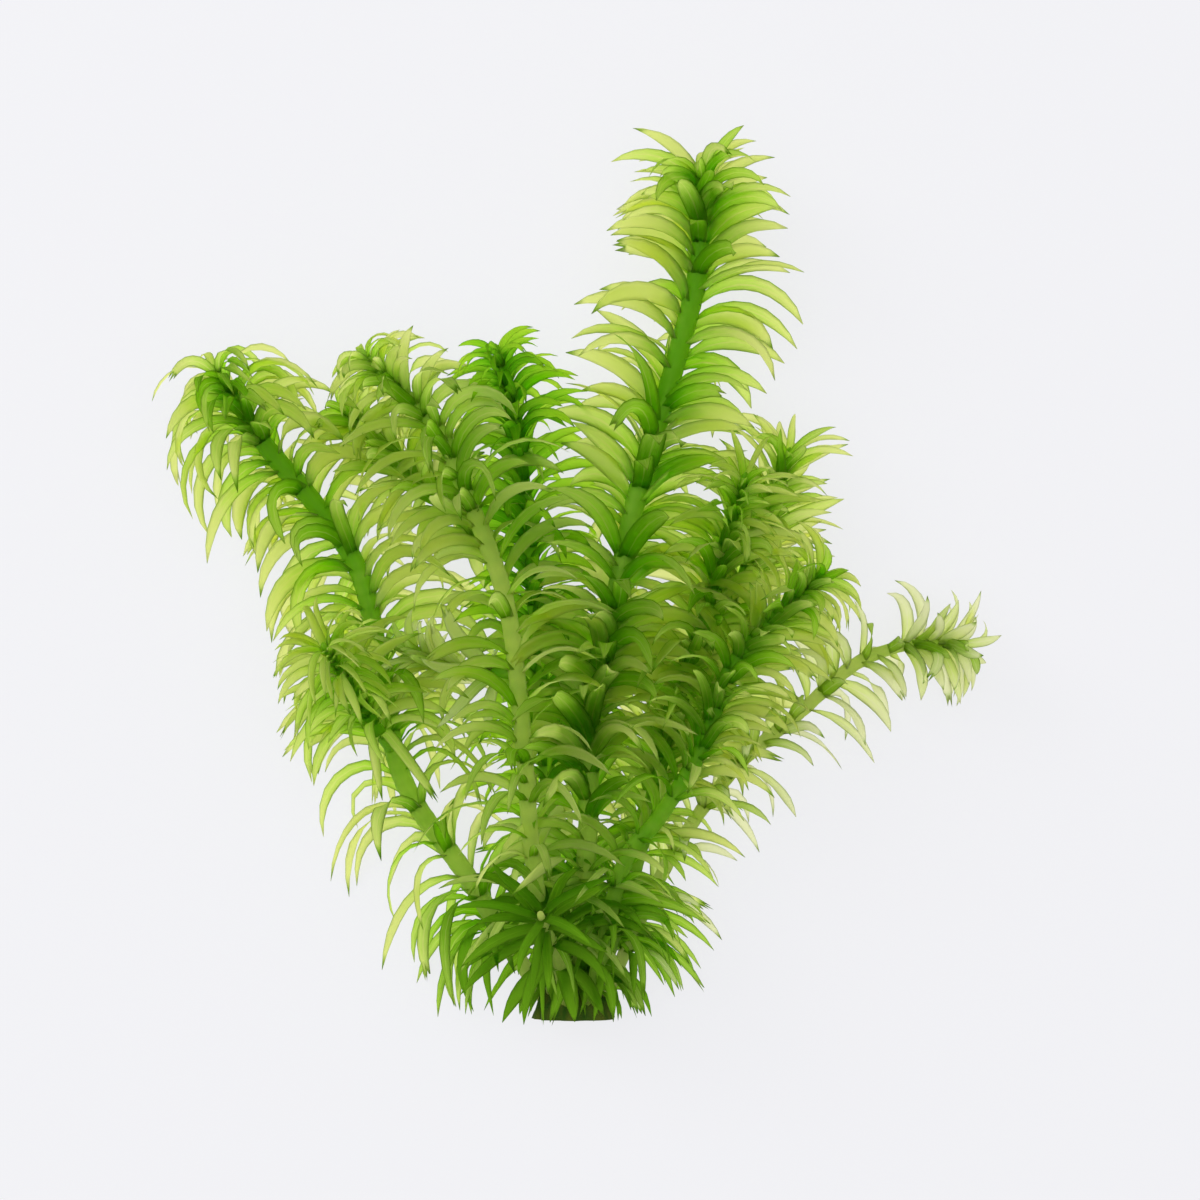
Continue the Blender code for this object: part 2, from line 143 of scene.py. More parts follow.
def old_stem_material():
    material, tree = start_material("old_stem")
    place = tree.node("ShaderNodeTexCoord", output=3)
    fibres = tree.node("ShaderNodeVectorMath", {"operation": "MULTIPLY"}, {0: place, 1: (1.0, 0.2, 1.0)})
    lumps = grain(tree, fibres, 700.0)
    fine = grain(tree, fibres, 3600.0)
    skin = tree.mixed(lumps * 2.4 - 0.7, CROWN_OLIVE, CROWN_BROWN)
    height = tree.node("ShaderNodeSeparateXYZ", inputs={0: place}, output=1)
    cut = (plant_foot.y + 0.05 * MM - height) * 20000.0
    pores = tree.node("ShaderNodeTexVoronoi", {"feature": "F1"}, {"Vector": place, "Scale": 1500.0})
    inside = tree.mixed(pores * 1.3, CUT_GREEN, CUT_CREAM)
    colour = tree.mixed(cut.held(), skin, inside)
    bump = tree.node("ShaderNodeBump", None, {"Strength": 0.5, "Distance": 0.0002, "Height": fine + lumps})
    shader = tree.node(
        "ShaderNodeBsdfPrincipled",
        None,
        {"Base Color": colour, "Roughness": fine * 0.3 + 0.5, "Normal": bump, "Specular IOR Level": 0.08},
    )
    tree.node("ShaderNodeOutputMaterial", None, {"Surface": shader})
    return material


def hang_up(name, bm, material, node):
    """Makes a piece of a bmesh, which rides with the plant, stands for its node and takes that slot."""
    bmesh.ops.translate(bm, verts=bm.verts, vec=plant_foot)
    mesh = bpy.data.meshes.new(name)
    bm.to_mesh(mesh)
    bm.free()
    mesh.shade_smooth()
    mesh.materials.append(material)
    piece = bpy.data.objects.new(name, mesh)
    bpy.context.collection.objects.link(piece)
    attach(piece, "root")
    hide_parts(node)
    return piece


def grow_crown():
    bm = bmesh.new()
    bmesh.ops.create_icosphere(bm, subdivisions=4, radius=1.0)
    for vertex in bm.verts:
        way = vertex.co.normalized()
        round_place = Vector(way[i] * CROWN_HALF_SIZE[i] for i in range(3))
        ridge_place = Vector(round_place[i] / CROWN_KNOB_SIZE[i] for i in range(3))
        knob = noise.noise(ridge_place) * CROWN_KNOBS - CROWN_SKIN
        vertex.co = round_place + way * knob
    bmesh.ops.translate(bm, verts=bm.verts, vec=CROWN_MIDDLE)
    cut = bmesh.ops.bisect_plane(
        bm, geom=[*bm.verts, *bm.edges, *bm.faces], plane_co=(0, 0, 0), plane_no=(0, -1, 0), clear_outer=True
    )
    rim = [item for item in cut["geom_cut"] if isinstance(item, bmesh.types.BMEdge)]
    face = bmesh.ops.edgeloop_fill(bm, edges=rim)["faces"]
    bmesh.ops.inset_region(bm, faces=face, thickness=0.3 * MM, depth=0.0)
    bmesh.ops.recalc_face_normals(bm, faces=bm.faces)
    crown = hang_up("root_crown_tissue", bm, old_stem_material(), "root_crown")
    crown.data.set_sharp_from_angle(angle=math.radians(50))


grow_crown()

# The tallest shoot grew straight up from the crown. Its stem is a soft green rod with a node every 3 mm or
# so, and each node carries a whorl of thin, strap-shaped leaves that let light through and bend back.
STEM_SIDES = 8
STEM_STEP = 0.85 * MM
STEM_FOOT_RADIUS = 1.2 * MM
STEM_SWELL = 12.0 * MM  # of stem, over which the foot widens to the shoot's own radius
STEM_TIP_SHARE = 0.45  # of that radius, at the bud
STEM_AGE_LENGTH = 140.0 * MM  # below the bud, where a stem is fully old
NODE_SWELL = 0.09  # of the radius, at a node
NODE_REACH = 1.7 * MM
CROWN_ROOTING = 1.5 * MM  # how far a stem runs on inside the crown
CROWN_SEARCH = 0.2 * MM  # the steps in which a route is shortened until it starts inside the crown
SIDE_ROOTING = 0.8 * MM  # from the middle of a parent stem to where its side shoot begins
SIDE_FOOT = 2.5 * MM  # of a side shoot's stem is inside or close beside its parent's
CURVE_POINTS = 16  # to each stretch between two marks of a stem's route

# Whorls, which crowd towards the bud
WHORL_SPACING = 10.2 * MM  # between main whorls, with two or three more in each space
WHORL_LEAVES = 5
CROWDED_LEAVES = 6  # in the whorls between
FIRST_WHORL = 1.8 * MM
FIRST_TURN = 0.4
BARE_FOOT = 3.0 * MM
BARE_CHANCE = 0.8  # that a leaf is missing where the stem shows between its leaves
FACING_UP = 0.5  # the sine of the rise from which a leaf covers its stem from above
BUD_LENGTH = 20.0 * MM
BUD_SPACING_SHARE = 0.4
BUD_SPREAD_SHARE = 0.7
BUD_CURL_SHARE = 1.2
BUD_WIDTH_SHARE = 0.55

# Old leaves, low on the plant: longer, narrower, fewer, and drooping
LOW_LEAF_HEIGHT = 65.0 * MM
OLD_LENGTH_GAIN = 0.15
OLD_WIDTH_LOSS = 0.45
OLD_DROOP_GAIN = 0.55
OLD_GAP = 45.0 * MM  # below this height the whorls between have lost most of their leaves
OLD_LEAVES = (0, 1, 1, 2)
SKIRT_HEIGHT = 20.0 * MM  # below this the oldest leaves hang down over the crown
SKIRT_DROOP = 2.6

# How leaves differ from one another
TURN_SCATTER = 0.3  # radians about the stem
ROOT_SCATTER = 0.5 * MM  # along the stem
LEAN_SCATTER = 0.5
SPREAD_SCATTER = 16  # degrees
TWIST_SCATTER = 1.6
LENGTH_RANGE = (0.75, 1.12)
WIDTH_RANGE = (0.78, 1.16)
CURL_RANGE = (0.6, 1.35)
CUP_RANGE = (0.5, 1.3)
SETTLE_RANGE = (0.0, 0.9)  # how far each step of a leaf turns towards level
PATCH_LENGTH = 22.0 * MM  # of stem, over which leaves grow alike
PATCH_LENGTH_GAIN = 0.3
PATCH_CURL_GAIN = 0.5

# Where a leaf may go
ROOTED_SHARE = 0.85  # of the stem's radius, where a leaf starts
LEAST_HEIGHTS = (0.3 * MM, 2.2 * MM)  # of a leaf's middle above the surface
LEAST_ENDS = (0.3 * MM, 1.4 * MM)  # of a leaf's tip above the level of the cut
CEILING = 41.0 * MM  # no leaf rises higher above the surface than this
SHORTENINGS = 12  # tries at a leaf that would reach too far, each shorter than the last
SHORTER = 0.92

# Age and painted shade, which the leaf's material reads
BUD_AGE = 0.15
STEM_AGE_GAIN = 0.45
LEAF_AGE_LENGTH = 50.0 * MM  # below the bud, over which that gain builds up
FOOT_AGE_GAIN = 0.4
SHADE_REACH = 42.0 * MM  # leaves this near the crown get painted shade, darker the nearer they are
UPPER_SHADE = 0.4  # painted shade on the leaves that stand straight up from a lying stem
UPPER_FROM = 0.4  # the sine of the rise from which leaves get that painted shade

# The blade
BLADE_COLUMNS = 4
BLADE_ROWS = 8
BLADE_THICKNESS = 0.12 * MM
BLADE_FOOT_SHARE = 0.82  # of the full width, where a leaf leaves its stem
BLADE_WIDEST = 0.32  # along a leaf
BLADE_TAPER = 2.5
BLADE_TIP_SHARE = 0.03
BLADE_CUP = 0.3  # how far the margins rise, as a share of the half width
LEAN_SHARE = 0.5  # of the lean, which grows steadily towards the tip
SWAY_SHARE = 0.7  # of the lean, to and fro on the way there
SWAY_TURN = 4.5  # radians along the leaf
LEVEL_LEAST = 0.3  # the sine of the angle from upright within which a blade isn't turned level
LOWEST_MIDDLE = 0.12 * MM  # of a blade that lies on the surface
LOWEST_HALF = 0.08 * MM  # of its thickness there
RIPPLE = 0.16 * MM
RIPPLE_ALONG = 9.0  # radians, from foot to tip
RIPPLE_ACROSS = 1.3  # radians, from the middle to a margin
TORN_SHARE = 0.1  # of the leaves have lost their tip
TORN_LENGTH = 0.86
TORN_DEPTH = 1.2 * MM
TEAR_START = 7.0  # times the ripple's own start
TEAR_ACROSS = 5.0  # radians, from the middle to a margin

UP = Vector((0, 0, 1))
PLANT_DOWN = Vector((0, -1, 0))


def smooth_line(route):
    """A dense line of points along one smooth curve through a route's marks, which are in millimetres."""
    marks = [Vector(mark) * MM for mark in route]
    pulls = [(marks[min(i + 1, len(marks) - 1)] - marks[max(i - 1, 0)]) / 6 for i in range(len(marks))]
    line = [marks[0]]
    for i in range(len(marks) - 1):
        start, end = marks[i], marks[i + 1]
        line += interpolate_bezier(start, start + pulls[i], end - pulls[i + 1], end, CURVE_POINTS)[1:]
    return line


def line_length(line):
    return sum((b - a).length for a, b in zip(line, line[1:]))


def cut_foot(line, length):
    """The line without its first length."""
    line = list(line)
    while len(line) > 2 and (line[1] - line[0]).length < length:
        length -= (line[1] - line[0]).length
        line.pop(0)
    line[0] = line[0].lerp(line[1], length / (line[1] - line[0]).length)
    return line


def frames_at(line, distances):
    """A matrix at each distance along the line: Z along the stem, X and Y carried along without twist."""
    frames, wanted, walked = [], list(distances), 0.0
    side = UP.cross(line[1] - line[0]).normalized()
    for a, b in zip(line, line[1:]):
        along = (b - a).normalized()
        side = (side - along * side.dot(along)).normalized()
        step = (b - a).length
        while wanted and wanted[0] <= walked + step + 1e-9:
            point = a.lerp(b, (wanted.pop(0) - walked) / step)
            turn = Matrix((side, along.cross(side), along)).transposed().to_4x4()
            frames.append(Matrix.Translation(point) @ turn)
        walked += step
    return frames


def whorls_below_tip(length, between):
    """Each whorl's distance below the tip, its turn about the stem and its number of leaves."""
    marks, below = [], FIRST_WHORL
    while below < length - BARE_FOOT:
        marks.append(below)
        grown = min(1.0, below / BUD_LENGTH)
        below += WHORL_SPACING * (BUD_SPACING_SHARE + (1 - BUD_SPACING_SHARE) * grown)
    half_step = math.pi / WHORL_LEAVES
    turns = [FIRST_TURN + half_step * (len(marks) - i) for i in range(len(marks))]
    found = []
    for i, (mark, turn) in enumerate(zip(marks, turns)):
        found.append((mark, turn, WHORL_LEAVES))
        if i + 1 < len(marks):
            for step in range(1, between + 1):
                part = step / (between + 1)
                found.append((mark + (marks[i + 1] - mark) * part, turn - half_step * part, CROWDED_LEAVES))
    found.append((length - BARE_FOOT / 2, FIRST_TURN, CROWDED_LEAVES))
    return found


def stem_radius(full, below_tip, length):
    rising = min(1.0, max(0.0, length - below_tip) / STEM_SWELL)
    falling = min(1.0, below_tip / BUD_LENGTH)
    lower = STEM_FOOT_RADIUS + (full - STEM_FOOT_RADIUS) * rising
    return lower * (STEM_TIP_SHARE + (1 - STEM_TIP_SHARE) * falling)


def grow_stem(line, full_radius, whorls, rooting, pale):
    """A round stem along the line, swollen at its nodes and closed by a blunt bud at its tip."""
    bm = bmesh.new()
    age, ring_mark = [bm.verts.layers.float.new(name) for name in ("age", "node")]
    length = line_length(line)
    count = round(length / STEM_STEP)
    stops = [length * i / count for i in range(count + 1)]
    ring = list(bmesh.ops.create_circle(bm, cap_ends=True, segments=STEM_SIDES, radius=1.0)["verts"])
    for i, (stop, axes) in enumerate(zip(stops, frames_at(line, stops))):
        if i:
            edges = [bm.edges.get((ring[j], ring[(j + 1) % STEM_SIDES])) for j in range(STEM_SIDES)]
            made = set(bmesh.ops.extrude_edge_only(bm, edges=edges)["geom"])
            ring = [next(e.other_vert(v) for e in v.link_edges if e.other_vert(v) in made) for v in ring]
        below = length - stop
        nearest = min(abs(below - mark) for mark, _, _ in whorls)
        swell = 1 + NODE_SWELL * max(0.0, 1 - nearest / NODE_REACH)
        radius = stem_radius(full_radius, below, length - rooting) * swell
        for j, vertex in enumerate(ring):
            angle = math.tau * j / STEM_SIDES
            vertex.co = axes @ Vector((radius * math.cos(angle), radius * math.sin(angle), 0))
            vertex[age] = min(1.0, max(0.0, pale + below / STEM_AGE_LENGTH))
            vertex[ring_mark] = max(0.0, 1 - nearest / NODE_REACH)
    cap = bmesh.ops.contextual_create(bm, geom=ring)["faces"]
    apex = bmesh.ops.poke(bm, faces=cap)["verts"][0]
    apex.co += axes.to_3x3().col[2] * radius
    bmesh.ops.recalc_face_normals(bm, faces=bm.faces)
    return bm


def make_blank():
    """A flat leaf blank: two grids joined at their rim. X is across from -1 to 1, Y along, Z the side."""
    bm = bmesh.new()
    bmesh.ops.create_grid(bm, x_segments=BLADE_COLUMNS, y_segments=BLADE_ROWS, size=1.0)
    unwrap = bm.loops.layers.uv.new("leaf")
    for vertex in bm.verts:
        vertex.co.y = (vertex.co.y + 1) / 2
    for face in bm.faces:
        for loop in face.loops:
            loop[unwrap].uv = (loop.vert.co.x / 2 + 0.5, loop.vert.co.y)
    under = bmesh.ops.duplicate(bm, geom=[*bm.verts, *bm.edges, *bm.faces])["geom"]
    bmesh.ops.reverse_faces(bm, faces=[item for item in under if isinstance(item, bmesh.types.BMFace)])
    below = {item for item in under if isinstance(item, bmesh.types.BMVert)}
    for vertex in bm.verts:
        if not vertex.is_boundary:
            vertex.co.z = -1.0 if vertex in below else 1.0
    bmesh.ops.remove_doubles(bm, verts=bm.verts, dist=1e-5)
    mesh = bpy.data.meshes.new("leaf_blank")
    bm.to_mesh(mesh)
    bm.free()
    return mesh


def blade_width(share):
    """A leaf's width at a share of its length, as a share of its full width."""
    grown = math.sin(min(1.0, share / BLADE_WIDEST) * math.pi / 2)
    rising = BLADE_FOOT_SHARE + (1 - BLADE_FOOT_SHARE) * grown
    past = max(0.0, (share - BLADE_WIDEST) / (1 - BLADE_WIDEST))
    return rising * max(BLADE_TIP_SHARE, 1 - past**BLADE_TAPER)


def turn_level(across, heading):
    """The angle about its heading that would lay a blade level, whichever of its two ways is nearer."""
    level = UP.cross(heading)
    if level.length < LEVEL_LEAST:
        return 0.0
    level.normalize()
    if level.dot(across) < 0:
        level = -level
    return math.atan2(across.cross(level).dot(heading), across.dot(level))


def rise_from(heading, least):
    """The heading bent so that it rises no less than that."""
    if heading.z >= least:
        return heading
    level = Vector((heading.x, heading.y, 0)).normalized() * math.sqrt(max(0.0, 1 - least * least))
    return (level + UP * min(1.0, least)).normalized()


def leaf_spine(start, along, out, lean, length, spread, curl, droop, settle, twist, least_height):
    """A leaf's centre points, blade directions and upper sides, from its stem to its tip."""
    point, before, across = start.copy(), out, along.cross(out).normalized()
    first = along * math.cos(spread) + out * math.sin(spread)
    rows = [(point, across, first.cross(across))]
    reach = length / BLADE_ROWS
    for step in range(BLADE_ROWS):
        share = (step + 0.5) / BLADE_ROWS
        angle = spread + curl * share
        heading = along * math.cos(angle) + out * math.sin(angle) + PLANT_DOWN * droop * share
        heading += lean * (LEAN_SHARE * share + SWAY_SHARE * math.sin(SWAY_TURN * share))
        heading.normalize()
        heading = rise_from(heading, (least_height - point.z) / reach)
        across = before.rotation_difference(heading) @ across
        turned = turn_level(across, heading) * settle + twist / BLADE_ROWS
        across = Quaternion(heading, turned) @ across
        point = point + heading * reach
        before = heading
        rows.append((point, across, heading.cross(across)))
    return rows


def lay_leaf(bm, blank, rows, half_width, cup, wave, whole, layers, values):
    """Adds a copy of the blank and bends it along a leaf's rows."""
    first = len(bm.verts)
    bm.from_mesh(blank)
    bm.verts.ensure_lookup_table()
    for vertex in bm.verts[first:]:
        u, v, side = vertex.co
        middle, across, upper = rows[round(v * BLADE_ROWS)]
        half = half_width * blade_width(v * whole)
        if whole < 1 and v == 1:
            middle = middle + across.cross(upper) * TORN_DEPTH * math.sin(wave * TEAR_START + u * TEAR_ACROSS)
        ripple = RIPPLE * math.sin(wave + v * RIPPLE_ALONG + u * RIPPLE_ACROSS)
        ripple *= abs(u) * math.sin(v * math.pi)
        rise = cup * u * u * half + ripple + side * BLADE_THICKNESS / 2
        place = middle + across * (u * half) + upper * rise
        place.z = max(place.z, LOWEST_MIDDLE + LOWEST_HALF * side)
        vertex.co = place
        for layer, value in zip(layers, values):
            vertex[layer] = value


def grow_leaves(blank, line, kind, whorls, seed):
    """All the leaves of a shoot, whorl by whorl. kind holds the shoot's own sizes and angles."""
    bm = bmesh.new()
    layers = [bm.verts.layers.float.new(name) for name in ("age", "tone", "shade")]
    length = line_length(line)
    rng = random.Random(seed)
    rising = sorted(whorls, reverse=True)
    for (below, turn, count), axes in zip(rising, frames_at(line, [length - mark[0] for mark in rising])):
        grown = min(1.0, below / BUD_LENGTH)
        turned = axes.to_3x3()
        along = turned.col[2].normalized()
        old = max(0.0, 1 - axes.translation.y / LOW_LEAF_HEIGHT)
        droop = kind["droop"] + OLD_DROOP_GAIN * old
        droop += SKIRT_DROOP * max(0.0, 1 - axes.translation.y / SKIRT_HEIGHT)
        thinned = SKIRT_HEIGHT < axes.translation.y < OLD_GAP or below > kind.get("crowded", math.inf) * MM
        if count == CROWDED_LEAVES and thinned:
            count = rng.choice(OLD_LEAVES)
        bare_from, bare_to = kind.get("bare", (0, 0))
        seen_stem = bare_from * MM < below < bare_to * MM
        for i in range(count):
            angle = turn + math.tau * (i + 0.5) / count + rng.uniform(-TURN_SCATTER, TURN_SCATTER)
            out = turned @ Vector((math.cos(angle), math.sin(angle), 0))
            if seen_stem and out.z > FACING_UP and rng.random() < BARE_CHANCE:
                continue
            start = axes.translation + out * stem_radius(kind["stem"] * MM, below, length) * ROOTED_SHARE
            start = start + along * rng.uniform(-ROOT_SCATTER, ROOT_SCATTER)
            lean = along.cross(out) * rng.uniform(-LEAN_SCATTER, LEAN_SCATTER)
            reach = kind["length"] * MM * (kind["bud"] + (1 - kind["bud"]) * grown)
            patch = noise.noise(Vector((math.cos(angle), math.sin(angle), below / PATCH_LENGTH + seed)))
            reach *= (1 + OLD_LENGTH_GAIN * old) * rng.uniform(*LENGTH_RANGE)
            reach *= 1 + PATCH_LENGTH_GAIN * patch
            half_width = kind["width"] * MM * (1 - OLD_WIDTH_LOSS * old) * rng.uniform(*WIDTH_RANGE)
            half_width *= BUD_WIDTH_SHARE + (1 - BUD_WIDTH_SHARE) * grown
            spread = kind["spread"] * (BUD_SPREAD_SHARE + (1 - BUD_SPREAD_SHARE) * grown)
            spread = math.radians(spread + rng.uniform(-SPREAD_SCATTER, SPREAD_SCATTER))
            curl = math.radians(kind["curl"] * (rng.uniform(*CURL_RANGE) + PATCH_CURL_GAIN * patch))
            curl *= BUD_CURL_SHARE + (1 - BUD_CURL_SHARE) * grown
            settle = rng.uniform(*SETTLE_RANGE) / 2
            twist = rng.uniform(-TWIST_SCATTER, TWIST_SCATTER) * kind.get("twist", 1.0)
            least_height, least_end = rng.uniform(*LEAST_HEIGHTS), rng.uniform(*LEAST_ENDS)
            for _ in range(SHORTENINGS):
                rows = leaf_spine(
                    start, along, out, lean, reach, spread, curl, droop, settle, twist, least_height
                )
                if min(row[0].y for row in rows) > least_end and max(row[0].z for row in rows) < CEILING:
                    break
                reach *= SHORTER
            else:
                continue
            cup = BLADE_CUP * rng.uniform(*CUP_RANGE)
            age = BUD_AGE + STEM_AGE_GAIN * min(1.0, below / LEAF_AGE_LENGTH) + FOOT_AGE_GAIN * old
            # Painted shade: darker near the crown, on leaves that stand up, and on a shoot given a shade of
            # its own
            from_crown = (rows[BLADE_ROWS // 2][0] - CROWN_MIDDLE).length
            shade = kind.get("shade", 0.0) + max(0.0, 1 - from_crown / SHADE_REACH)
            shade += UPPER_SHADE * max(0.0, out.z - UPPER_FROM) / (1 - UPPER_FROM)
            whole = TORN_LENGTH if rng.random() < TORN_SHARE else 1.0
            wave = rng.uniform(0, 6)
            values = (min(1.0, age), rng.random(), min(1.0, shade))
            lay_leaf(bm, blank, rows, half_width, cup, wave, whole, layers, values)
    return bm


# Colours of a leaf, young at the bud, grown, and old near the foot
LEAF_STOPS = (
    (0.0, (0.44, 0.66, 0.06)),
    (0.3, (0.24, 0.54, 0.03)),
    (0.6, (0.16, 0.46, 0.02)),
    (1.0, (0.34, 0.54, 0.06)),
)
MIDRIB = (0.46, 0.66, 0.12)
MARGIN = (0.06, 0.11, 0.02)
# The translucent colour of leaves under painted shade
PAINTED_SHADE_GREEN = (0.44, 0.67, 0.12)
THIN_YELLOW = (0.965, 0.998, 0.55)
THIN_GREEN = (0.62, 0.96, 0.08)


def leaf_material(name, thin_yellow, thin_green, lightness):
    material, tree = start_material(name)
    place = tree.node("ShaderNodeTexCoord", output=3)
    unwrap = tree.node("ShaderNodeUVMap", {"uv_map": "leaf"})
    u = tree.node("ShaderNodeSeparateXYZ", inputs={0: unwrap}, output=0)
    v = tree.node("ShaderNodeSeparateXYZ", inputs={0: unwrap}, output=1)
    age = tree.node("ShaderNodeAttribute", {"attribute_name": "age"}, output=2)
    tone = tree.node("ShaderNodeAttribute", {"attribute_name": "tone"}, output=2)
    painted_shade = tree.node("ShaderNodeAttribute", {"attribute_name": "shade"}, output=2)
    cells = tree.node("ShaderNodeCombineXYZ", None, {0: u * 26.0, 1: v * 7.0, 2: tone * 90.0})
    streaks = grain(tree, cells, 1.0, 4.0)
    patches = grain(tree, place, 160.0)
    rib = (1.0 - (u - 0.5).size() * 18.0).held() * (1.0 - v * 0.75)
    margin = ((u - 0.5).size() * 14.0 - 5.9).held()
    tip = (v * 9.0 + tone * 2.0 - 9.4).held()
    blend = age + (patches - 0.5) * 0.5 + (tone - 0.5) * 0.35
    green = tree.node("ShaderNodeValToRGB", {"stops": LEAF_STOPS}, {"Fac": blend})
    ribbed = tree.mixed(margin * 0.4 + tip * 0.6, tree.mixed(rib * 0.75, green, MIDRIB), MARGIN)
    # The colour is darkened by streaks and tone, by the finish's lightness, and by the painted shade
    shade = (0.72 + streaks * 0.4 + tone * 0.16) * lightness * (1.0 - painted_shade * 0.7)
    colour = tree.node("ShaderNodeVectorMath", {"operation": "SCALE"}, {0: ribbed, 3: shade})
    relief = streaks - rib * 0.8
    bump = tree.node("ShaderNodeBump", None, {"Strength": 0.35, "Distance": 0.00012, "Height": relief})
    skin = tree.node(
        "ShaderNodeBsdfPrincipled",
        None,
        {
            "Base Color": colour,
            "Roughness": 0.32 + patches * 0.22,
            "Normal": bump,
            "Specular IOR Level": 0.12,
        },
    )
    yellow = tree.node("ShaderNodeBsdfTranslucent", None, {"Color": thin_yellow})
    green_glow = tree.node("ShaderNodeBsdfTranslucent", None, {"Color": thin_green})
    # A darker translucent green, mixed in where the painted shade lies
    painted_shade_glow = tree.node("ShaderNodeBsdfTranslucent", None, {"Color": PAINTED_SHADE_GREEN})
    deep = tree.node("ShaderNodeMixShader", None, {0: (painted_shade * 1.5).held(), 1: green_glow, 2: painted_shade_glow})
    thick = (1.0 - v) ** 2.0 * 0.7 + margin * 0.5 + tip
    # Deeper where the leaf is thick at its foot, margin and tip, and where painted shade lies
    depth = (0.22 + thick + painted_shade * 1.5 - rib * 0.8 - tone * 0.75 + (streaks - 0.5) * 0.9).held()
    glow = tree.node("ShaderNodeMixShader", None, {0: depth, 1: yellow, 2: deep})
    blade = tree.node("ShaderNodeMixShader", None, {0: 0.985 - margin * 0.25 - tip * 0.3, 1: skin, 2: glow})
    tree.node("ShaderNodeOutputMaterial", None, {"Surface": blade})
    return material


STEM_YOUNG = (0.12, 0.36, 0.012)
STEM_OLD = (0.52, 0.70, 0.10)
STEM_GLOW = (0.66, 0.95, 0.11)
STEM_PALE_GLOW = (0.96, 0.99, 0.55)


def stem_material():
    material, tree = start_material("green_stem")
    place = tree.node("ShaderNodeTexCoord", output=3)
    age = tree.node("ShaderNodeAttribute", {"attribute_name": "age"}, output=2)
    node = tree.node("ShaderNodeAttribute", {"attribute_name": "node"}, output=2)
    patches = grain(tree, place, 300.0)
    fine = grain(tree, place, 2400.0)
    colour = tree.mixed((age + patches - 0.5 - node * 0.35).held(), STEM_YOUNG, STEM_OLD)
    bump = tree.node("ShaderNodeBump", None, {"Strength": 0.3, "Distance": 0.0001, "Height": fine})
    skin = tree.node(
        "ShaderNodeBsdfPrincipled",
        None,
        {"Base Color": colour, "Roughness": 0.4 + fine * 0.2, "Normal": bump, "Specular IOR Level": 0.12},
    )
    young_glow = tree.node("ShaderNodeBsdfTranslucent", None, {"Color": STEM_GLOW})
    pale_glow = tree.node("ShaderNodeBsdfTranslucent", None, {"Color": STEM_PALE_GLOW})
    glow = tree.node("ShaderNodeMixShader", None, {0: (age * 1.6 - 0.6).held(), 1: young_glow, 2: pale_glow})
    stem = tree.node("ShaderNodeMixShader", None, {0: 0.6, 1: skin, 2: glow})
    tree.node("ShaderNodeOutputMaterial", None, {"Surface": stem})
    return material


leaf_blank = make_blank()
stem_green = stem_material()
leaf_finishes = {
    "leaf_green": leaf_material("leaf_green", THIN_YELLOW, THIN_GREEN, 1.0),
    "leaf_light_green": leaf_material("leaf_light_green", (0.97, 0.998, 0.58), (0.68, 0.975, 0.11), 1.1),
    # The dark finish is a darker copy of the same leaf, painted shade over the middle and front shoots
    "leaf_dark_green": leaf_material("leaf_dark_green", (0.74, 0.94, 0.22), (0.40, 0.82, 0.06), 0.7),
    "leaf_pale_green": leaf_material("leaf_pale_green", (0.99, 0.999, 0.76), (0.87, 0.985, 0.36), 1.25),
}


def grow_shoot(node, slot, route, seed, forks_from_stem=False, **kind):
    """A shoot's stem and its leaves, two pieces that stand for its node."""
    line = smooth_line(route)
    if forks_from_stem:
        line = cut_foot(line, SIDE_ROOTING)
        rooting = SIDE_FOOT
    else:
        room = CROWN_HALF_SIZE - Vector((1, 1, 1)) * CROWN_ROOTING
        while Vector(((line[0] - CROWN_MIDDLE)[i] / room[i] for i in range(3))).length < 1:
            line = cut_foot(line, CROWN_SEARCH)
        rooting = CROWN_ROOTING
    whorls = whorls_below_tip(line_length(line) - rooting, kind.get("between", 2))
    stem = grow_stem(line, kind["stem"] * MM, whorls, rooting, kind.get("pale", 0.0))
    hang_up(node.replace("_shoot", "_stem"), stem, stem_green, node)
    leaves = grow_leaves(leaf_blank, line, kind, whorls, seed)
    hang_up(node.replace("_shoot", "_leaves"), leaves, leaf_finishes[slot], node)


TALL_ROUTE = (
    (0, 4, 7.2), (2, 35, 16), (2.5, 53, 17), (6, 72, 17), (11, 97, 16), (18.5, 123, 15), (22.5, 140, 15),
    (23, 158, 17),
)
grow_shoot(
    "tall_shoot", "leaf_green", TALL_ROUTE, 11,
    stem=1.75, length=20.5, width=2.0, bud=0.75, spread=36, curl=78, droop=0.12, bare=(12, 82), between=3,
)

# The left shoot leans away to the left and carries the most strongly bent leaves, which hang like a mop
# at its tip. It grew from the crown's left edge.
LEFT_ROUTE = (
    (-5.5, 2, 4.5), (-20, 26, 10), (-32, 44, 11), (-36, 62, 11), (-40, 82, 11), (-48, 95, 11), (-58, 107, 12),
    (-67, 121, 14),
)
grow_shoot(
    "left_shoot", "leaf_green", LEFT_ROUTE, 12,
    stem=1.7, length=22.5, width=1.6, bud=0.65, spread=38, curl=110, droop=0.42, bare=(18, 90), between=3,
)

# The shoot left of the middle stands in front of its neighbours. Its pale stem shows between its leaves,
# and its tip leans over to the left.
MIDDLE_LEFT_ROUTE = (
    (-4.3, 3, 7.6), (-8, 30, 21), (-10, 55, 24), (-13, 78, 23.5), (-20, 97, 21), (-26, 110, 19),
    (-34, 118, 18), (-40, 124, 18),
)
grow_shoot(
    "middle_left_shoot", "leaf_light_green", MIDDLE_LEFT_ROUTE, 13,
    stem=1.5, length=19, width=1.35, bud=0.5, spread=36, curl=98, droop=0.3, pale=0.62, bare=(34, 84),
)

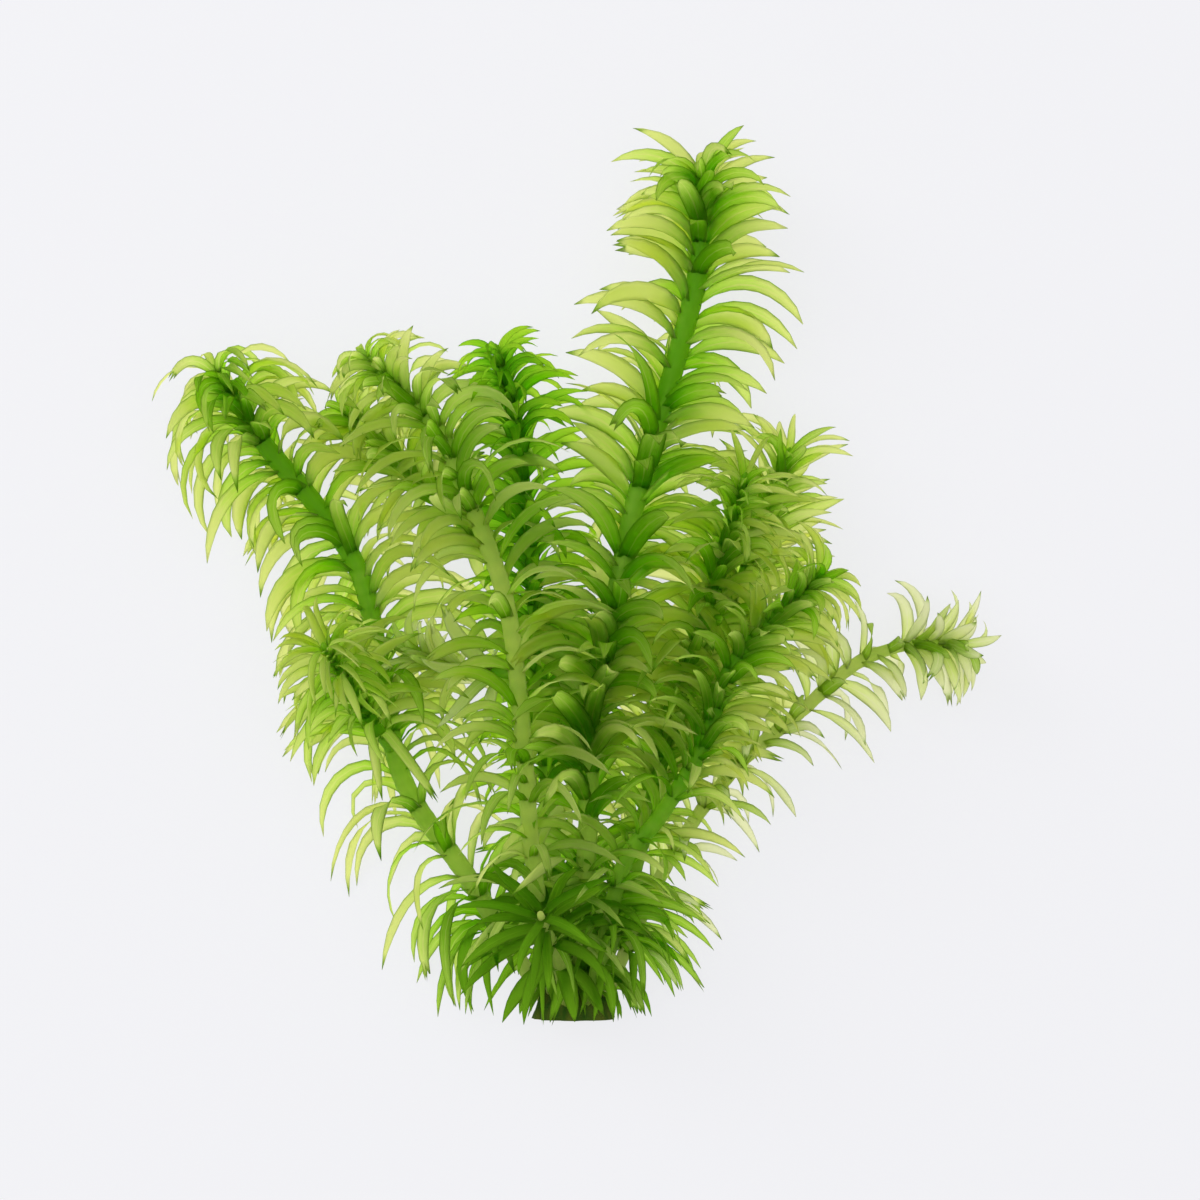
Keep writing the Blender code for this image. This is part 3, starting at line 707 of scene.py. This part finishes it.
# The middle shoot stands behind its neighbours, where it got little light. Its dark finish is painted shade,
# and it has crowded and narrower leaves on a thin stem. It grew nearly straight up from the crown.
MIDDLE_ROUTE = ((-2.5, 4, 4), (-5, 37, 9), (-7, 67, 9), (-9.5, 93, 10), (-11.5, 110, 12), (-15, 125, 14))
grow_shoot(
    "middle_shoot", "leaf_dark_green", MIDDLE_ROUTE, 14,
    stem=1.4, length=16.5, width=1.2, bud=0.5, spread=34, curl=84, droop=0.2, between=3,
)

# The right shoot grew from the crown beside the tallest one, and is about two thirds of its length. Its
# tip is a small tuft of short young leaves, which turns up towards the viewer.
RIGHT_ROUTE = ((3, 3, 7.8), (12.5, 35, 13), (17.5, 57, 13), (24, 75, 14), (27, 87, 15), (31, 101, 20))
grow_shoot(
    "right_shoot", "leaf_green", RIGHT_ROUTE, 15,
    stem=1.4, length=17, width=1.25, bud=0.65, spread=34, curl=80, droop=0.15, between=3,
)

# The right back shoot is a young and thin one, which grew from the back of the crown. Its light leaves
# bend back less than those of the shoots beside it.
RIGHT_BACK_ROUTE = ((1.6, 4, 3.6), (11.5, 36, 6), (23, 60, 6), (31, 82, 7), (36, 95, 8.5), (39.5, 106, 10))
grow_shoot(
    "right_back_shoot", "leaf_light_green", RIGHT_BACK_ROUTE, 16,
    stem=1.3, length=18.5, width=1.4, bud=0.7, spread=34, curl=48, droop=0.05,
)

# The right front shoot grew from the front of the crown and lies over the others on the right. Halfway
# along, it turns outwards, and its leaves are as crowded as on the right shoot.
RIGHT_FRONT_ROUTE = (
    (2.2, 3, 10.6), (8.5, 29, 18), (15, 38, 19.5), (23, 51, 20), (27.5, 64, 20), (35.5, 74, 20), (46, 83, 21),
)
grow_shoot(
    "right_front_shoot", "leaf_green", RIGHT_FRONT_ROUTE, 17,
    stem=1.4, length=16.5, width=1.25, bud=0.65, spread=34, curl=80, droop=0.15, between=3,
)

# The far right shoot is thin and the palest one, with little green in its stem. It grew from low on the
# crown and arches outwards, and its broad, short leaves stand apart.
FAR_RIGHT_ROUTE = (
    (4.4, 2, 4.6), (17, 29, 6), (29, 46, 6), (41.5, 57, 7), (52.5, 66.5, 8), (64, 70, 9), (73, 69, 10),
)
grow_shoot(
    "far_right_shoot", "leaf_pale_green", FAR_RIGHT_ROUTE, 18,
    stem=1.2, length=14.5, width=1.45, bud=0.75, spread=44, curl=56, droop=0.3, pale=0.8, crowded=14,
)

# The front shoot is a short one, newly grown from the top of the lying crown. It points up at the
# viewer, so its broad leaves open like a star round a pale bud. They are darkened by painted shade:
# the dark finish, and a painted shade of their own as well.
FRONT_ROUTE = ((-2, 3, 10.4), (-3.5, 12.5, 18), (-5.5, 18, 26), (-6.5, 21.5, 33))
grow_shoot(
    "front_shoot", "leaf_dark_green", FRONT_ROUTE, 19,
    stem=1.4, length=15, width=2.2, bud=0.95, spread=86, curl=14, droop=0.16, pale=1.0, crowded=0, shade=0.45,
    twist=0.25,
)

# The left side shoot forks from the left shoot, below the middle, and leans up towards the viewer. Its
# foot is set into the parent's stem, and its leaves bend back like the parent's.
LEFT_SIDE_ROUTE = ((-34, 50, 12), (-38, 56, 17), (-42, 63, 22), (-46, 70, 28))
grow_shoot(
    "left_side_shoot", "leaf_green", LEFT_SIDE_ROUTE, 20, forks_from_stem=True,
    stem=1.2, length=18.5, width=1.3, bud=0.7, spread=38, curl=92, droop=0.35, between=3,
)

# The middle left side shoot forks from the back of the middle left shoot. It leans out to the left under
# its parent, and its light leaves fill the space between the two shoots' tips.
MIDDLE_LEFT_SIDE_ROUTE = (
    (-16, 87, 22.5), (-20, 91.5, 17.5), (-26, 97, 13), (-34.5, 105.5, 10), (-44, 114, 10),
)
grow_shoot(
    "middle_left_side_shoot", "leaf_light_green", MIDDLE_LEFT_SIDE_ROUTE, 21, forks_from_stem=True,
    stem=1.2, length=17, width=1.4, bud=0.7, spread=34, curl=84, droop=0.25,
)

# The middle side shoot is a small young one, which forks from the back of the same stem lower down. Its
# leaves are short, thin and pale.
MIDDLE_SIDE_ROUTE = ((-11, 65, 24), (-17, 64.5, 19), (-24, 65.5, 14), (-32, 69, 11))
grow_shoot(
    "middle_side_shoot", "leaf_pale_green", MIDDLE_SIDE_ROUTE, 22, forks_from_stem=True,
    stem=1.1, length=13.5, width=1.3, bud=0.7, spread=36, curl=66, droop=0.1,
)

bpy.data.meshes.remove(leaf_blank)

# The surface is a plain pale table of frosted glass, lit evenly from below as well as from above. It is
# wide enough to fill the view from any side, and the thin leaves show the light that comes through it.
FLOOR_SIDE = 6.0
FLOOR_SHADE = (0.16, 0.163, 0.169)
GLOW_SHADE = (0.975, 0.97, 1.0)
FLOOR_GLOW = 0.768


def lay_floor():
    bm = bmesh.new()
    bmesh.ops.create_grid(bm, x_segments=1, y_segments=1, size=FLOOR_SIDE / 2)
    mesh = bpy.data.meshes.new("floor")
    bm.to_mesh(mesh)
    bm.free()
    material, tree = start_material("pale_table")
    shader = tree.node(
        "ShaderNodeBsdfPrincipled",
        None,
        {
            "Base Color": FLOOR_SHADE,
            "Roughness": 0.9,
            "Emission Color": GLOW_SHADE,
            "Emission Strength": FLOOR_GLOW,
        },
    )
    tree.node("ShaderNodeOutputMaterial", None, {"Surface": shader})
    mesh.materials.append(material)
    floor = bpy.data.objects.new("floor", mesh)
    bpy.context.collection.objects.link(floor)


lay_floor()

# Soft light falls from a broad panel overhead and from the pale room around it. A smaller panel at the
# upper left adds a little shape to the stems and leaves.
PANELS = (
    ("overhead_panel", (0.0, 0.0, 1.2), 1.6, 6.0),
    ("side_panel", (-0.9, 0.6, 0.7), 0.7, 5.0),
)
ROOM_SHADE = (0.95, 0.97, 1.0)
ROOM_STRENGTH = 0.42


def light_room():
    for name, place, side, power in PANELS:
        light = bpy.data.lights.new(name, "AREA")
        light.size = side
        light.energy = power
        lamp = bpy.data.objects.new(name, light)
        lamp.location = place
        lamp.rotation_euler = (-Vector(place)).to_track_quat("-Z", "Y").to_euler()
        bpy.context.collection.objects.link(lamp)
    world = bpy.data.worlds.new("room")
    world.use_nodes = True
    background = world.node_tree.nodes["Background"]
    background.inputs["Color"].default_value = (*ROOM_SHADE, 1)
    background.inputs["Strength"].default_value = ROOM_STRENGTH
    bpy.context.scene.world = world
    bpy.context.scene.view_settings.view_transform = "Standard"


light_room()

# The camera looks straight down on the lying plant, with a long lens. Its frame is worked out from the
# scale of 0.185 mm for each pixel and from the pixel at which the middle of the plant's foot shows.
MM_PER_PIXEL = 0.185
PHOTO_SIDE = 1200
FOOT_PIXEL = (577, 1022)  # across and down, of the middle of the cut
LENS = 120.0
SENSOR = 36.0
SCALE_HEIGHT = 14.0 * MM  # above the surface, where the scale is exact


def place_camera():
    camera = bpy.data.cameras.new("camera")
    camera.lens = LENS
    camera.sensor_width = SENSOR
    camera.clip_start = 0.01
    holder = bpy.data.objects.new("camera", camera)
    width = PHOTO_SIDE * MM_PER_PIXEL * MM
    middle_x = (PHOTO_SIDE / 2 - FOOT_PIXEL[0]) * MM_PER_PIXEL * MM
    middle_y = (FOOT_PIXEL[1] - PHOTO_SIDE / 2) * MM_PER_PIXEL * MM
    height = width * LENS / SENSOR + SCALE_HEIGHT
    holder.location = (plant_foot.x + middle_x, plant_foot.y + middle_y, height)
    bpy.context.collection.objects.link(holder)
    bpy.context.scene.camera = holder


place_camera()
